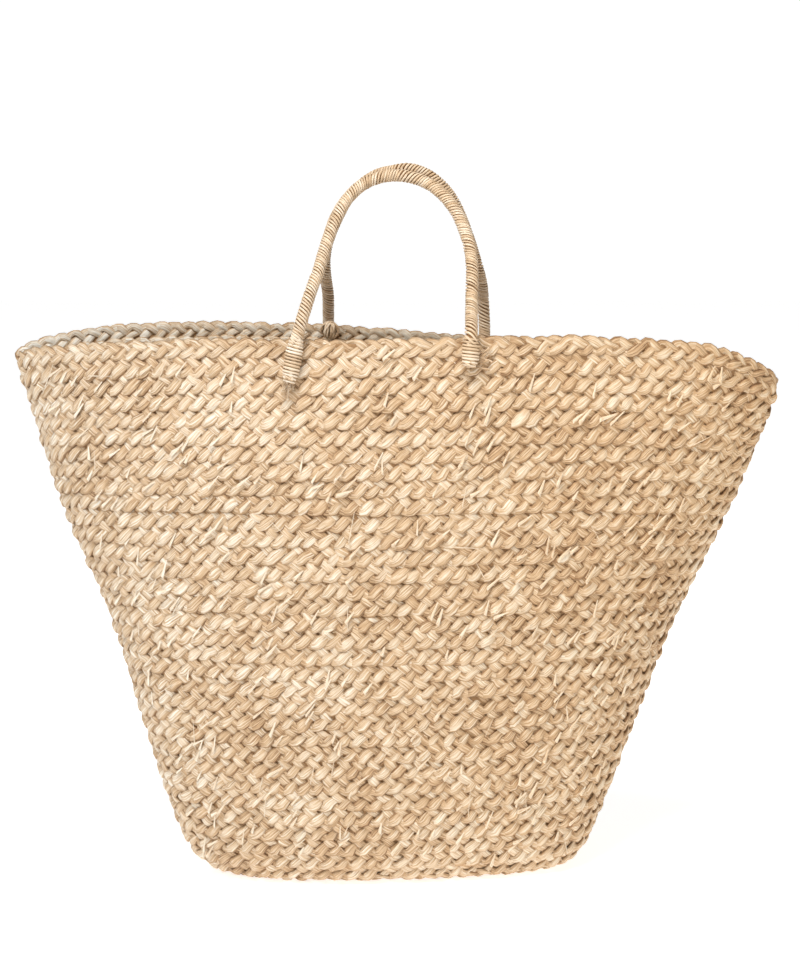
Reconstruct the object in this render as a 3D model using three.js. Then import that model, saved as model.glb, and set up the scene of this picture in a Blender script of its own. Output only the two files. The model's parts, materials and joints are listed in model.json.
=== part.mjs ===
import * as THREE from "three";

// Straw basket bag, in millimetres, with Z up. X runs along the mouth, and the near side faces -Y.

// Overall sizes
const RIM_WIDTH = 600;
const BASE_DEPTH = 140;
const WALL_HEIGHT = 424;
const ROWS = 34;
const BASE_RINGS = 5;

// Wall and plait
const WALL_THICKNESS = 5;
const RIB_RISE = 1.4;
const RIM_THICKNESS = 8;
const COLUMNS = 36;
const RIM_COLUMNS = 48;
const INNER_LEVELS = 17;
const CLEARANCE = 0.35;
const FLOOR = WALL_THICKNESS / 2 + RIB_RISE;
const RIM_ROW = (ROWS - 1) / ROWS;

// The rows are level but for this angle on each side of the right corner, where each climbs to the
// next. There the plait's end thins as well, down to this share of a row.
const CLIMB_ANGLE = 45;
const TAIL_ANGLE = 16;
const TAIL_HEIGHT = 0.55;

// Handles
const HANDLE_RADIUS = 4.8;
const HANDLE_RISE = 120;
const HANDLE_SPREAD = 130;
const HANDLE_SIDES = 8;
const HANDLE_STEPS = 46;
const STAND_OFF = RIM_THICKNESS / 2 + CLEARANCE + HANDLE_RADIUS;
const HANDLE_REACH = 84;

// Lashings and knots
const BINDING_THICKNESS = 1.6;
const BINDING_GAP = 0.5;
const KNOT_WIDTH = 17;
const KNOT_HEIGHT = 15;
const KNOT_DEPTH = 9;

// The wall's outline by height. Widths are shares of half RIM_WIDTH, depth of half BASE_DEPTH and
// height of WALL_HEIGHT. A corner of 0.5 is nearly square in plan, 1 is an ellipse and more is
// pointed. The turn twists the mouth against the base.
const SECTIONS = [
  { row: 0.0, left: 0.415, right: 0.425, depth: 0.79, height: 0, corner: 0.4, turn: 4 },
  { row: 0.03, left: 0.475, right: 0.478, depth: 0.92, height: 0.012, corner: 0.42, turn: 4 },
  { row: 0.07, left: 0.53, right: 0.52, depth: 1.03, height: 0.045, corner: 0.48, turn: 4 },
  { row: 0.14, left: 0.576, right: 0.565, depth: 1.13, height: 0.115, corner: 0.58, turn: 3.5 },
  { row: 0.3, left: 0.65, right: 0.65, depth: 1.21, height: 0.28, corner: 0.74, turn: 2 },
  { row: 0.5, left: 0.738, right: 0.75, depth: 1.26, height: 0.487, corner: 0.9, turn: -0.5 },
  { row: 0.7, left: 0.863, right: 0.866, depth: 1.23, height: 0.692, corner: 1.05, turn: -3.5 },
  { row: 0.88, left: 0.947, right: 0.954, depth: 1.14, height: 0.877, corner: 1.2, turn: -5.5 },
  { row: 1.0, left: 1, right: 1, depth: 1.07, height: 1, corner: 1.3, turn: -6.5 },
];

// How far the rows dip around the mouth, in millimetres at the rim. The angle starts at the right
// corner and runs over the far side to the left corner and back along the near side.
const DIPS = [
  { angle: -15, lift: -23 },
  { angle: 0, lift: -34 },
  { angle: 20, lift: -27 },
  { angle: 50, lift: -24 },
  { angle: 80, lift: -9 },
  { angle: 110, lift: 0 },
  { angle: 140, lift: -1 },
  { angle: 165, lift: -12 },
  { angle: 180, lift: -20 },
  { angle: 205, lift: -13 },
  { angle: 240, lift: -2 },
  { angle: 270, lift: 1 },
  { angle: 300, lift: 4 },
  { angle: 325, lift: -5 },
  { angle: 345, lift: -23 },
  { angle: 360, lift: -34 },
  { angle: 380, lift: -27 },
];

// The loops above the rim. Across is a share of half HANDLE_SPREAD from the loop's middle, lean a
// share of the way out to its foot, and rise a share of HANDLE_RISE above the rim.
const FRONT_LOOP = [
  { across: -0.79, lean: 0.75, rise: 0.29 },
  { across: -0.69, lean: 0.6, rise: 0.44 },
  { across: -0.61, lean: 0.46, rise: 0.59 },
  { across: -0.5, lean: 0.33, rise: 0.74 },
  { across: -0.35, lean: 0.19, rise: 0.88 },
  { across: -0.14, lean: 0.09, rise: 0.97 },
  { across: 0.12, lean: 0.08, rise: 1.01 },
  { across: 0.38, lean: 0.08, rise: 1 },
  { across: 0.61, lean: 0.11, rise: 0.95 },
  { across: 0.77, lean: 0.19, rise: 0.88 },
  { across: 0.91, lean: 0.29, rise: 0.78 },
  { across: 1, lean: 0.39, rise: 0.67 },
  { across: 1.06, lean: 0.49, rise: 0.56 },
  { across: 1.08, lean: 0.6, rise: 0.44 },
  { across: 1.07, lean: 0.78, rise: 0.25 },
];
const BACK_LOOP = [
  { across: -0.96, lean: 0.82, rise: 0.21 },
  { across: -0.98, lean: 0.72, rise: 0.31 },
  { across: -0.99, lean: 0.63, rise: 0.4 },
  { across: -0.98, lean: 0.55, rise: 0.49 },
  { across: -0.89, lean: 0.4, rise: 0.67 },
  { across: -0.76, lean: 0.25, rise: 0.81 },
  { across: -0.56, lean: 0.13, rise: 0.93 },
  { across: -0.34, lean: 0.09, rise: 1.01 },
  { across: -0.13, lean: 0.08, rise: 1.04 },
  { across: 0.05, lean: 0.08, rise: 1.05 },
  { across: 0.24, lean: 0.08, rise: 1.02 },
  { across: 0.4, lean: 0.11, rise: 0.96 },
  { across: 0.56, lean: 0.21, rise: 0.86 },
  { across: 0.68, lean: 0.33, rise: 0.73 },
  { across: 0.8, lean: 0.49, rise: 0.56 },
  { across: 0.9, lean: 0.64, rise: 0.39 },
  { across: 0.95, lean: 0.73, rise: 0.29 },
  { across: 0.98, lean: 0.85, rise: 0.17 },
];

// Each loop's table and its middle along X, with the side of the bag it stands on
const LOOPS = {
  front: { points: FRONT_LOOP, middle: -8, side: -1 },
  back: { points: BACK_LOOP, middle: 12, side: 1 },
};

// The feet: the angle around the wall at the foot's end and at the rim, how many rows the foot
// reaches down, and the row where its knot sits inside
const FEET = [
  { loop: "front", name: "front_left", low: 257, high: 258.5, rows: 2.3, knot: 0.945 },
  { loop: "front", name: "front_right", low: 283.4, high: 283.4, rows: 1.5, knot: 0.945 },
  { loop: "back", name: "back_left", low: 101, high: 101.5, rows: 2, knot: 0.995 },
  { loop: "back", name: "back_right", low: 77, high: 77, rows: 2, knot: 0.965 },
];

const toRadians = (degrees) => (degrees * Math.PI) / 180;

// A smooth value between the entries of a table, with the entries' own slopes
function between(table, key, value, x) {
  const last = table.length - 1;
  let i = 0;
  while (i < last - 1 && x >= table[i + 1][key]) i += 1;
  const at = (k) => table[Math.min(Math.max(k, 0), last)];
  const slope = (from, to) => (to[value] - from[value]) / (to[key] - from[key]);
  const [low, high] = [at(i), at(i + 1)];
  const span = high[key] - low[key];
  const u = (x - low[key]) / span;
  const rise = span * slope(at(i - 1), high);
  const fall = span * slope(low, at(i + 2));
  const start = (2 * u ** 3 - 3 * u ** 2 + 1) * low[value] + (u ** 3 - 2 * u ** 2 + u) * rise;
  return start + (3 * u ** 2 - 2 * u ** 3) * high[value] + (u ** 3 - u ** 2) * fall;
}

// A point on a turned oval in plan, with more or less square corners
function planPoint(half, deep, corner, turn, angle) {
  const sin = Math.sin(toRadians(angle));
  const x = half * Math.cos(toRadians(angle));
  const y = deep * Math.sign(sin) * Math.abs(sin) ** corner;
  const [cosTurn, sinTurn] = [Math.cos(toRadians(turn)), Math.sin(toRadians(turn))];
  return new THREE.Vector3(x * cosTurn - y * sinTurn, x * sinTurn + y * cosTurn, 0);
}

// A point on the middle of the wall. Row runs from 0 at the base's edge to 1 at the rim.
function wallPoint(row, angle) {
  const end = Math.cos(toRadians(angle)) > 0 ? "right" : "left";
  const half = (RIM_WIDTH / 2) * between(SECTIONS, "row", end, row);
  const deep = (BASE_DEPTH / 2) * between(SECTIONS, "row", "depth", row);
  const corner = between(SECTIONS, "row", "corner", row);
  const turn = between(SECTIONS, "row", "turn", row);
  const dip = between(DIPS, "angle", "lift", ((angle % 360) + 360) % 360) * row ** 2.2;
  const z = FLOOR + WALL_HEIGHT * between(SECTIONS, "row", "height", row) + dip;
  return planPoint(half, deep, corner, turn, angle).setZ(z);
}

// The direction that leads out of the wall, at a right angle to its rows
function wallOut(row, angle) {
  const low = Math.min(row, 0.99);
  const along = wallPoint(low, angle + 1).sub(wallPoint(low, angle - 1));
  const up = wallPoint(low + 0.01, angle).sub(wallPoint(low, angle));
  return along.cross(up).normalize();
}

// The wall's middle moved outward by a distance
function wallFace(row, angle, distance) {
  return wallPoint(row, angle).addScaledVector(wallOut(row, angle), distance);
}

// A closed mesh from its points and the corners of its flat pieces
function solid(points, faces) {
  const triangles = [];
  for (const face of faces) {
    for (let k = 2; k < face.length; k += 1) triangles.push(face[0], face[k - 1], face[k]);
  }
  const geometry = new THREE.BufferGeometry();
  geometry.setAttribute(
    "position",
    new THREE.Float32BufferAttribute(points.flatMap((point) => point.toArray()), 3),
  );
  geometry.setIndex(triangles);
  return geometry;
}

// The faces between two rings of points, which look outward when the second lies above
function band(faces, low, high) {
  for (let c = 0; c < low.length; c += 1) {
    const next = (c + 1) % low.length;
    faces.push([low[c], low[next], high[next], high[c]]);
  }
}

// A profile carried through stations. The ends are capped unless it runs back to its start.
function sweep(profile, stations, closed) {
  const points = stations.flatMap(({ at, across, over }) =>
    profile.map(([a, b]) => at.clone().addScaledVector(across, a).addScaledVector(over, b)),
  );
  const corners = profile.length;
  const faces = [];
  const bands = closed ? stations.length : stations.length - 1;
  for (let s = 0; s < bands; s += 1) {
    const here = s * corners;
    const there = ((s + 1) % stations.length) * corners;
    for (let p = 0; p < corners; p += 1) {
      const next = (p + 1) % corners;
      faces.push([here + p, here + next, there + next, there + p]);
    }
  }
  if (!closed) {
    const outline = profile.map(([a, b]) => new THREE.Vector2(a, b));
    const end = bands * corners;
    for (const [a, b, c] of THREE.ShapeUtils.triangulateShape(outline, [])) {
      faces.push([c, b, a], [end + a, end + b, end + c]);
    }
  }
  return solid(points, faces);
}

// An oval with flats on its four sides
function oval(halfWidth, halfHeight, sides) {
  return Array.from({ length: sides }, (_, k) => {
    const turn = (2 * Math.PI * (k + 0.5)) / sides;
    return [halfWidth * Math.cos(turn), halfHeight * Math.sin(turn)];
  });
}

// How much of a row the coil has climbed, from 0 to 1, on its way round from the right corner
function climbed(angle) {
  const fromCorner = Math.min(angle, 360 - angle) / CLIMB_ANGLE;
  const part = 0.5 * Math.sin((Math.PI / 2) * Math.min(fromCorner, 1));
  return angle > 180 ? 1 - part : part;
}

// The wall: outside, ribs that climb one row a turn, inside a smooth face
function wallGeometry() {
  const points = [];
  const faces = [];
  const put = (point) => points.push(point) - 1;
  const ribs = 2 * (ROWS - 1) - 1;
  const outside = [];
  const inside = [];
  for (let c = 0; c < COLUMNS; c += 1) {
    const angle = (360 * c) / COLUMNS;
    const outer = [put(wallFace(0, angle, WALL_THICKNESS / 2))];
    for (let k = 0; k < ribs; k += 1) {
      const row = Math.min((0.1 + k / 2 + climbed(angle)) / ROWS, RIM_ROW - 0.1 / ROWS);
      outer.push(put(wallFace(row, angle, WALL_THICKNESS / 2 + (1 - (k % 2)) * RIB_RISE)));
    }
    outer.push(put(wallFace(RIM_ROW, angle, WALL_THICKNESS / 2)));
    outside.push(outer);
    inside.push(
      Array.from({ length: INNER_LEVELS }, (_, k) =>
        put(wallFace((RIM_ROW * k) / (INNER_LEVELS - 1), angle, -WALL_THICKNESS / 2)),
      ),
    );
  }
  for (let c = 0; c < COLUMNS; c += 1) {
    const [here, next] = [outside[c], outside[(c + 1) % COLUMNS]];
    const [back, on] = [inside[c], inside[(c + 1) % COLUMNS]];
    const top = here.length - 1;
    const last = INNER_LEVELS - 1;
    // Two ribs make a row, so the last column meets the first one two ribs higher
    const shift = c === COLUMNS - 1 ? 2 : 0;
    for (let k = shift ? 1 : 0; k < top - (shift ? 3 : 0); k += 1) {
      faces.push([here[k], next[k + shift], next[k + shift + 1], here[k + 1]]);
    }
    if (shift) {
      faces.push([here[1], here[0], next[0], next[1], next[2], next[3]]);
      faces.push([next[top - 1], next[top], here[top], here[top - 1], here[top - 2], here[top - 3]]);
    }
    for (let k = 0; k < last; k += 1) faces.push([on[k], back[k], back[k + 1], on[k + 1]]);
    faces.push([here[0], back[0], on[0], next[0]]);
    faces.push([here[top], next[top], on[last], back[last]]);
  }
  return solid(points, faces);
}

// The base: one closed run of rings, from the middle of the underside out to the edge and back in
// over the upper side. Each ring of plait is flat on its crest and sinks at its joins.
function baseGeometry() {
  const points = [];
  const faces = [];
  const put = (point) => points.push(point) - 1;
  const aroundBase = (place) =>
    Array.from({ length: COLUMNS }, (_, c) => put(place((360 * c) / COLUMNS)));
  const half = (RIM_WIDTH / 2) * SECTIONS[0].left;
  const deep = (BASE_DEPTH / 2) * SECTIONS[0].depth;
  const ring = (share, height) =>
    aroundBase((angle) => {
      const inset = (deep * share) / BASE_RINGS;
      const { corner, turn } = SECTIONS[0];
      return planPoint(half - inset, deep - inset, corner, turn, angle).setZ(FLOOR + height);
    });
  const edge = (side) =>
    aroundBase((angle) => {
      const inward = wallPoint(0, angle).sub(wallPoint(0.01, angle)).setLength(CLEARANCE);
      return wallFace(0, angle, -side * (WALL_THICKNESS / 2)).add(inward);
    });
  const sheet = (side) => {
    const groove = side * (WALL_THICKNESS / 2);
    const crest = groove + side * RIB_RISE;
    const rings = [edge(side)];
    for (let k = 0; k < BASE_RINGS; k += 1) {
      rings.push(ring(k + 0.25, crest));
      if (k < BASE_RINGS - 1) rings.push(ring(k + 0.75, crest), ring(k + 1, groove));
    }
    return { rings, middle: put(new THREE.Vector3(0, 0, FLOOR + crest)) };
  };
  const under = sheet(-1);
  const over = sheet(1);
  const rings = [...under.rings.reverse(), ...over.rings];
  for (let k = 1; k < rings.length; k += 1) band(faces, rings[k - 1], rings[k]);
  for (let c = 0; c < COLUMNS; c += 1) {
    const next = (c + 1) % COLUMNS;
    faces.push([under.middle, rings[0][next], rings[0][c]]);
    faces.push([over.middle, rings.at(-1)[c], rings.at(-1)[next]]);
  }
  return solid(points, faces);
}

// The last row, which thins towards the right corner
function rimGeometry() {
  const stations = Array.from({ length: RIM_COLUMNS }, (_, c) => {
    const angle = (360 * c) / RIM_COLUMNS;
    const fromTail = Math.min(angle, 360 - angle) / TAIL_ANGLE;
    const share = TAIL_HEIGHT + (1 - TAIL_HEIGHT) * Math.min(fromTail, 1);
    const foot = wallPoint(RIM_ROW, angle);
    const up = wallPoint(1, angle).sub(foot);
    const half = (up.length() * share) / 2;
    const at = foot.addScaledVector(up.normalize(), CLEARANCE + half);
    const out = wallOut(RIM_ROW, angle);
    return { at, across: up.multiplyScalar(half), over: out.multiplyScalar(RIM_THICKNESS / 2) };
  });
  return sweep(oval(1, 1, 8), stations, true);
}

// The line of a handle's leg down the outside of the wall, a share of the way from foot to rim
function legPoint(foot, share) {
  const angle = foot.low + (foot.high - foot.low) * share;
  return wallFace(1 - (foot.rows * (1 - share)) / ROWS, angle, STAND_OFF);
}

function handleGeometry(name) {
  const { points, middle, side } = LOOPS[name];
  const [left, right] = FEET.filter((foot) => foot.loop === name);
  const shares = [0, 0.25, 0.5, 0.75, 1];
  const loop = points.map(
    ({ across, lean, rise }) =>
      new THREE.Vector3(
        middle + (across * HANDLE_SPREAD) / 2,
        side * lean * HANDLE_REACH,
        FLOOR + WALL_HEIGHT + rise * HANDLE_RISE,
      ),
  );
  const line = new THREE.CatmullRomCurve3([
    ...shares.map((share) => legPoint(left, share)),
    ...loop,
    ...shares.toReversed().map((share) => legPoint(right, share)),
  ]);
  const frames = line.computeFrenetFrames(HANDLE_STEPS, false);
  const stations = Array.from({ length: HANDLE_STEPS + 1 }, (_, k) => ({
    at: line.getPointAt(k / HANDLE_STEPS),
    across: frames.normals[k],
    over: frames.binormals[k],
  }));
  return sweep(oval(HANDLE_RADIUS, HANDLE_RADIUS, HANDLE_SIDES), stations, false);
}

// An arch of wraps around the outside of a leg, open towards the wall
function bindingGeometry(foot) {
  const inner = HANDLE_RADIUS + BINDING_GAP;
  const outer = inner + BINDING_THICKNESS;
  const ends = CLEARANCE - HANDLE_RADIUS;
  const arc = (radius, from, to) =>
    Array.from({ length: 7 }, (_, k) => {
      const turn = from + ((to - from) * k) / 6;
      return [radius * Math.cos(turn), radius * Math.sin(turn)];
    });
  const quarter = Math.PI / 2;
  const profile = [
    [ends, -outer],
    ...arc(outer, -quarter, quarter),
    [ends, outer],
    [ends, inner],
    ...arc(inner, quarter, -quarter),
    [ends, -inner],
  ];
  const stations = [0, 0.28, 0.56, 0.84].map((share) => {
    const row = 1 - (foot.rows * (1 - share)) / ROWS;
    const up = legPoint(foot, share + 0.05).sub(legPoint(foot, share - 0.05)).normalize();
    const along = up.clone().cross(wallOut(row, foot.low)).normalize();
    return { at: legPoint(foot, share), across: along.clone().cross(up), over: along };
  });
  return sweep(profile, stations, false);
}

// The lump where a lashing is tied off on the inside
function knotGeometry(foot) {
  const swell = [0.5, 0.88, 1, 0.88, 0.5];
  const out = wallOut(foot.knot, foot.low);
  const up = wallPoint(foot.knot, foot.low).sub(wallPoint(foot.knot - 0.01, foot.low)).normalize();
  const along = up.clone().cross(out);
  const backing = foot.knot > RIM_ROW ? RIM_THICKNESS : WALL_THICKNESS;
  const middle = wallFace(foot.knot, foot.low, -backing / 2 - CLEARANCE - KNOT_DEPTH / 2);
  const stations = swell.map((size, k) => ({
    at: middle.clone().addScaledVector(along, (KNOT_WIDTH / 2) * (k / 2 - 1)),
    across: up.clone().multiplyScalar((KNOT_HEIGHT / 2) * size),
    over: out.clone().multiplyScalar((KNOT_DEPTH / 2) * size),
  }));
  return sweep(oval(1, 1, 8), stations, false);
}

const straw = new THREE.MeshStandardMaterial({ color: "#d8bc96", roughness: 0.75 });
const raffia = new THREE.MeshStandardMaterial({ color: "#e6d0b0", roughness: 0.7 });

const group = new THREE.Group();
group.name = "straw_basket_bag";

function add(name, geometry, material) {
  geometry.computeVertexNormals();
  const mesh = new THREE.Mesh(geometry, material);
  mesh.name = name;
  group.add(mesh);
}

add("basket_base", baseGeometry(), straw);
add("basket_wall", wallGeometry(), straw);
add("rim_braid", rimGeometry(), straw);
add("front_handle", handleGeometry("front"), raffia);
add("back_handle", handleGeometry("back"), raffia);
for (const foot of FEET) {
  add(`${foot.name}_binding`, bindingGeometry(foot), raffia);
  add(`${foot.name}_knot`, knotGeometry(foot), raffia);
}

export default group;
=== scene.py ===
# %% [markdown]
# # A straw basket bag
# The bag is one long plait of straw, wound from a flat oval base up to the mouth and sewn row to
# row. Two cord loops wrapped in raffia are lashed to its sides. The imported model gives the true
# form and sizes. This script lays the plait, the wraps and the loose straws over that form.

# %% Load the frame
import json
import math

import bpy
import numpy as np
from mathutils import Matrix, Vector

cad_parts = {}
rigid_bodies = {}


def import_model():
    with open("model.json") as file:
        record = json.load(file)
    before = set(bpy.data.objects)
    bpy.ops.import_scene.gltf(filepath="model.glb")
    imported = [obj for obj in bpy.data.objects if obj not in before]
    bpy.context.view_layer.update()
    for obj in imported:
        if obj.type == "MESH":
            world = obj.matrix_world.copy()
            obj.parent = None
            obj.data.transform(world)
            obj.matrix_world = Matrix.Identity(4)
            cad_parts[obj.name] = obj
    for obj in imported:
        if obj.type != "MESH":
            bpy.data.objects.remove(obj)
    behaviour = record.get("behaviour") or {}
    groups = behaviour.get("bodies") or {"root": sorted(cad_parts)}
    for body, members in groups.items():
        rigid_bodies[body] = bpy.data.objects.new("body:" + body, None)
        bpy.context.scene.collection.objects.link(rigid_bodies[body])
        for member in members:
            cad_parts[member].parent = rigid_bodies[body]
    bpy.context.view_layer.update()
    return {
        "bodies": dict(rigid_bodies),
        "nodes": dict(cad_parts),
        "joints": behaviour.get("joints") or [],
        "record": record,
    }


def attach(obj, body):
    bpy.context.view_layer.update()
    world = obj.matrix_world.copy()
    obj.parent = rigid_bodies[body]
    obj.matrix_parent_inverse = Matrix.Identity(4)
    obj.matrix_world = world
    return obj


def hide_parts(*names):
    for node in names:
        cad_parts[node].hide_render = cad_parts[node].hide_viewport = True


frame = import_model()

# %% [markdown]
# ## Sizes
# All sizes are in metres. The tables are the wall's own: shares of the mouth's width, of the
# base's depth and of the wall's height for a few of the 34 rows, and how far the rows dip around
# the mouth. A shape that is set down as a rule can be followed by the plait, the backing and the
# loose straws alike.

# %% The bag's sizes and tables
MM = 0.001
RIM_WIDTH = 600 * MM
BASE_DEPTH = 140 * MM
WALL_HEIGHT = 424 * MM
FLOOR = 3.9 * MM
ROWS = 34
BASE_RINGS = 5
CLIMB_ANGLE = 45
DIP_POWER = 2.2

# share of the rows, left, right, depth, height, corner, turn in degrees
SECTIONS = np.array([
    [0.00, 0.415, 0.425, 0.79, 0.000, 0.40, 4.0],
    [0.03, 0.475, 0.478, 0.92, 0.012, 0.42, 4.0],
    [0.07, 0.530, 0.520, 1.03, 0.045, 0.48, 4.0],
    [0.14, 0.576, 0.565, 1.13, 0.115, 0.58, 3.5],
    [0.30, 0.650, 0.650, 1.21, 0.280, 0.74, 2.0],
    [0.50, 0.738, 0.750, 1.26, 0.487, 0.90, -0.5],
    [0.70, 0.863, 0.866, 1.23, 0.692, 1.05, -3.5],
    [0.88, 0.947, 0.954, 1.14, 0.877, 1.20, -5.5],
    [1.00, 1.000, 1.000, 1.07, 1.000, 1.30, -6.5],
])

# angle around the mouth in degrees, lift in millimetres at the rim
DIPS = np.array([
    [-15, -23], [0, -34], [20, -27], [50, -24], [80, -9], [110, 0], [140, -1], [165, -12],
    [180, -20], [205, -13], [240, -2], [270, 1], [300, 4], [325, -5], [345, -23], [360, -34],
    [380, -27],
], dtype=float)

# %% The wall as a rule
ANGLE_STEP = 0.7
ROW_STEP = 0.15


def between(table, column, x):
    """A smooth value between the rows of a table, as the solid's own maker works it out."""
    x = np.asarray(x, float)
    keys, values = table[:, 0], table[:, column]
    last = len(keys) - 1
    low = np.clip(np.searchsorted(keys, x, side="right") - 1, 0, last - 1)
    before, after = np.maximum(low - 1, 0), np.minimum(low + 2, last)
    span = keys[low + 1] - keys[low]
    u = (x - keys[low]) / span
    rise = span * (values[low + 1] - values[before]) / (keys[low + 1] - keys[before])
    fall = span * (values[after] - values[low]) / (keys[after] - keys[low])
    start = (2 * u**3 - 3 * u**2 + 1) * values[low] + (u**3 - 2 * u**2 + u) * rise
    return start + (3 * u**2 - 2 * u**3) * values[low + 1] + (u**3 - u**2) * fall


def coil_point(row, angle):
    """The middle of the straw at a row and an angle. Rows under 0 are the rings of the base."""
    row, angle = np.broadcast_arrays(np.asarray(row, float), np.asarray(angle, float))
    share = np.clip(row / ROWS, 0, None)
    inset = np.clip(-row / BASE_RINGS, 0, 1) * BASE_DEPTH / 2 * SECTIONS[0, 3]
    cos, sin = np.cos(np.radians(angle)), np.sin(np.radians(angle))
    width = np.where(cos > 0, between(SECTIONS, 2, share), between(SECTIONS, 1, share))
    x = (RIM_WIDTH / 2 * width - inset) * cos
    depth = BASE_DEPTH / 2 * between(SECTIONS, 3, share) - inset
    y = depth * np.sign(sin) * np.abs(sin) ** between(SECTIONS, 5, share)
    turn = np.radians(between(SECTIONS, 6, share))
    dip = between(DIPS, 1, np.mod(angle, 360)) * MM * share**DIP_POWER
    z = FLOOR + WALL_HEIGHT * between(SECTIONS, 4, share) + dip
    turned_x = x * np.cos(turn) - y * np.sin(turn)
    turned_y = x * np.sin(turn) + y * np.cos(turn)
    return np.stack([turned_x, turned_y, z], -1)


def unit(vectors):
    return vectors / np.linalg.norm(vectors, axis=-1, keepdims=True)


def coil_frame(row, angle):
    """Where the straw lies, with the directions along the row, across it and out of the bag."""
    row = np.asarray(row, float)
    along = unit(coil_point(row, angle + ANGLE_STEP) - coil_point(row, angle - ANGLE_STEP))
    lower = np.clip(row, None, ROWS - 2 * ROW_STEP)
    climb = coil_point(lower + ROW_STEP, angle) - coil_point(lower - ROW_STEP, angle)
    out = unit(np.cross(along, climb))
    return coil_point(row, angle), along, unit(np.cross(out, along)), out


def coil_row(total):
    """The row that the coil has reached. It climbs only near the right corner."""
    turn = np.round(total / 360)
    return turn + 0.5 * np.sin(np.pi / 2 * np.clip((total - 360 * turn) / CLIMB_ANGLE, -1, 1))


rim = coil_point(ROWS, np.arange(0, 360, 5.0))
print("mouth from", rim.min(0).round(4), "to", rim.max(0).round(4))

# %% [markdown]
# ## Camera, floor and light
# The photograph looks almost straight at the near side from a little above the mouth, against a
# white ground. A long lens about 1.6 m away gives the same flat perspective. Soft lamps from the
# front left, the front right and above leave only small warm shadows between the plaits.

# %% Camera
CAMERA_PLACE = (0.008, -1.6, 0.574)
CAMERA_PITCH = 9.58
CAMERA_LENS = 75.5

scene = bpy.context.scene
camera_data = bpy.data.cameras.new("camera")
camera_data.sensor_fit = "VERTICAL"
camera_data.sensor_height = 36
camera_data.lens = CAMERA_LENS
camera = bpy.data.objects.new("camera", camera_data)
camera.location = CAMERA_PLACE
camera.rotation_euler = (math.radians(90 - CAMERA_PITCH), 0, 0)
scene.collection.objects.link(camera)
scene.camera = camera
scene.view_settings.view_transform = "Standard"
print("camera at", CAMERA_PLACE, "looking down", CAMERA_PITCH, "degrees")

# %% Node helpers


class Value:
    """One output of a node, on which ordinary sums work."""

    def __init__(self, tree, socket):
        self.tree = tree
        self.socket = socket

    def out(self, name):
        return Value(self.tree, self.socket.node.outputs[name])

    def sum(self, operation, *parts):
        vectors = [p for p in parts if isinstance(p, Value) and p.socket.type == "VECTOR"]
        if not vectors:
            return self.tree.add("ShaderNodeMath", {"operation": operation}, dict(enumerate(parts)))
        scalars = [p for p in parts if p not in vectors and not isinstance(p, (tuple, Vector))]
        if operation == "MULTIPLY" and scalars:
            inputs = {"Vector": vectors[0], "Scale": scalars[0]}
            return self.tree.add("ShaderNodeVectorMath", {"operation": "SCALE"}, inputs)
        inputs = dict(enumerate(parts))
        return self.tree.add("ShaderNodeVectorMath", {"operation": operation}, inputs)

    def __add__(self, other):
        return self.sum("ADD", self, other)

    def __radd__(self, other):
        return self.sum("ADD", other, self)

    def __sub__(self, other):
        return self.sum("SUBTRACT", self, other)

    def __rsub__(self, other):
        return self.sum("SUBTRACT", other, self)

    def __mul__(self, other):
        return self.sum("MULTIPLY", self, other)

    def __rmul__(self, other):
        return self.sum("MULTIPLY", other, self)

    def __truediv__(self, other):
        return self.sum("DIVIDE", self, other)

    def sine(self):
        return self.sum("SINE", self)

    def cosine(self):
        return self.sum("COSINE", self)

    def floor(self):
        return self.sum("FLOOR", self)


class Tree:
    """A node tree with one way to add a node: its type, its settings, then its sockets."""

    def __init__(self, tree):
        self.tree = tree

    def add(self, kind, settings=None, inputs=None, output=0):
        made = self.tree.nodes.new(kind)
        for name, setting in (settings or {}).items():
            if name == "stops":
                self.set_stops(made.color_ramp, setting)
            else:
                setattr(made, name, setting)
        for name, value in (inputs or {}).items():
            open_sockets = [s for s in made.inputs if s.name == name and not s.is_unavailable]
            socket = made.inputs[name] if isinstance(name, int) else open_sockets[0]
            if isinstance(value, Value):
                self.tree.links.new(value.socket, socket)
            else:
                socket.default_value = value
        if isinstance(output, str):
            output = next(i for i, s in enumerate(made.outputs)
                          if s.name == output and not s.is_unavailable)
        return Value(self, made.outputs[output])

    def set_stops(self, ramp, stops):
        while len(ramp.elements) < len(stops):
            ramp.elements.new(1.0)
        for element, (place, colour) in zip(ramp.elements, stops):
            element.position = place
            element.color = colour

    def mix(self, factor, first, second):
        inputs = {0: factor, 6: first, 7: second}
        return self.add("ShaderNodeMix", {"data_type": "RGBA"}, inputs, output=2)


def colour(red, green, blue):
    """A screen colour from 0 to 255 as the linear light that Blender works in."""
    parts = [c / 255 for c in (red, green, blue)]
    linear = [p / 12.92 if p <= 0.04045 else ((p + 0.055) / 1.055) ** 2.4 for p in parts]
    return (*linear, 1.0)


def new_material(name):
    """A material with its shader, as its tree and that shader's node."""
    material = bpy.data.materials.new(name)
    material.use_nodes = True
    shader = material.node_tree.nodes["Principled BSDF"]
    return material, Tree(material.node_tree), shader


# %% Floor, room and lamps
WHITE = (1, 1, 1, 1)
FLOOR_REACH = 6.0
FLOOR_GLOW = 0.67
ROOM_LIGHT = 0.34
ROOM_SEEN = 0.71


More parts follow.
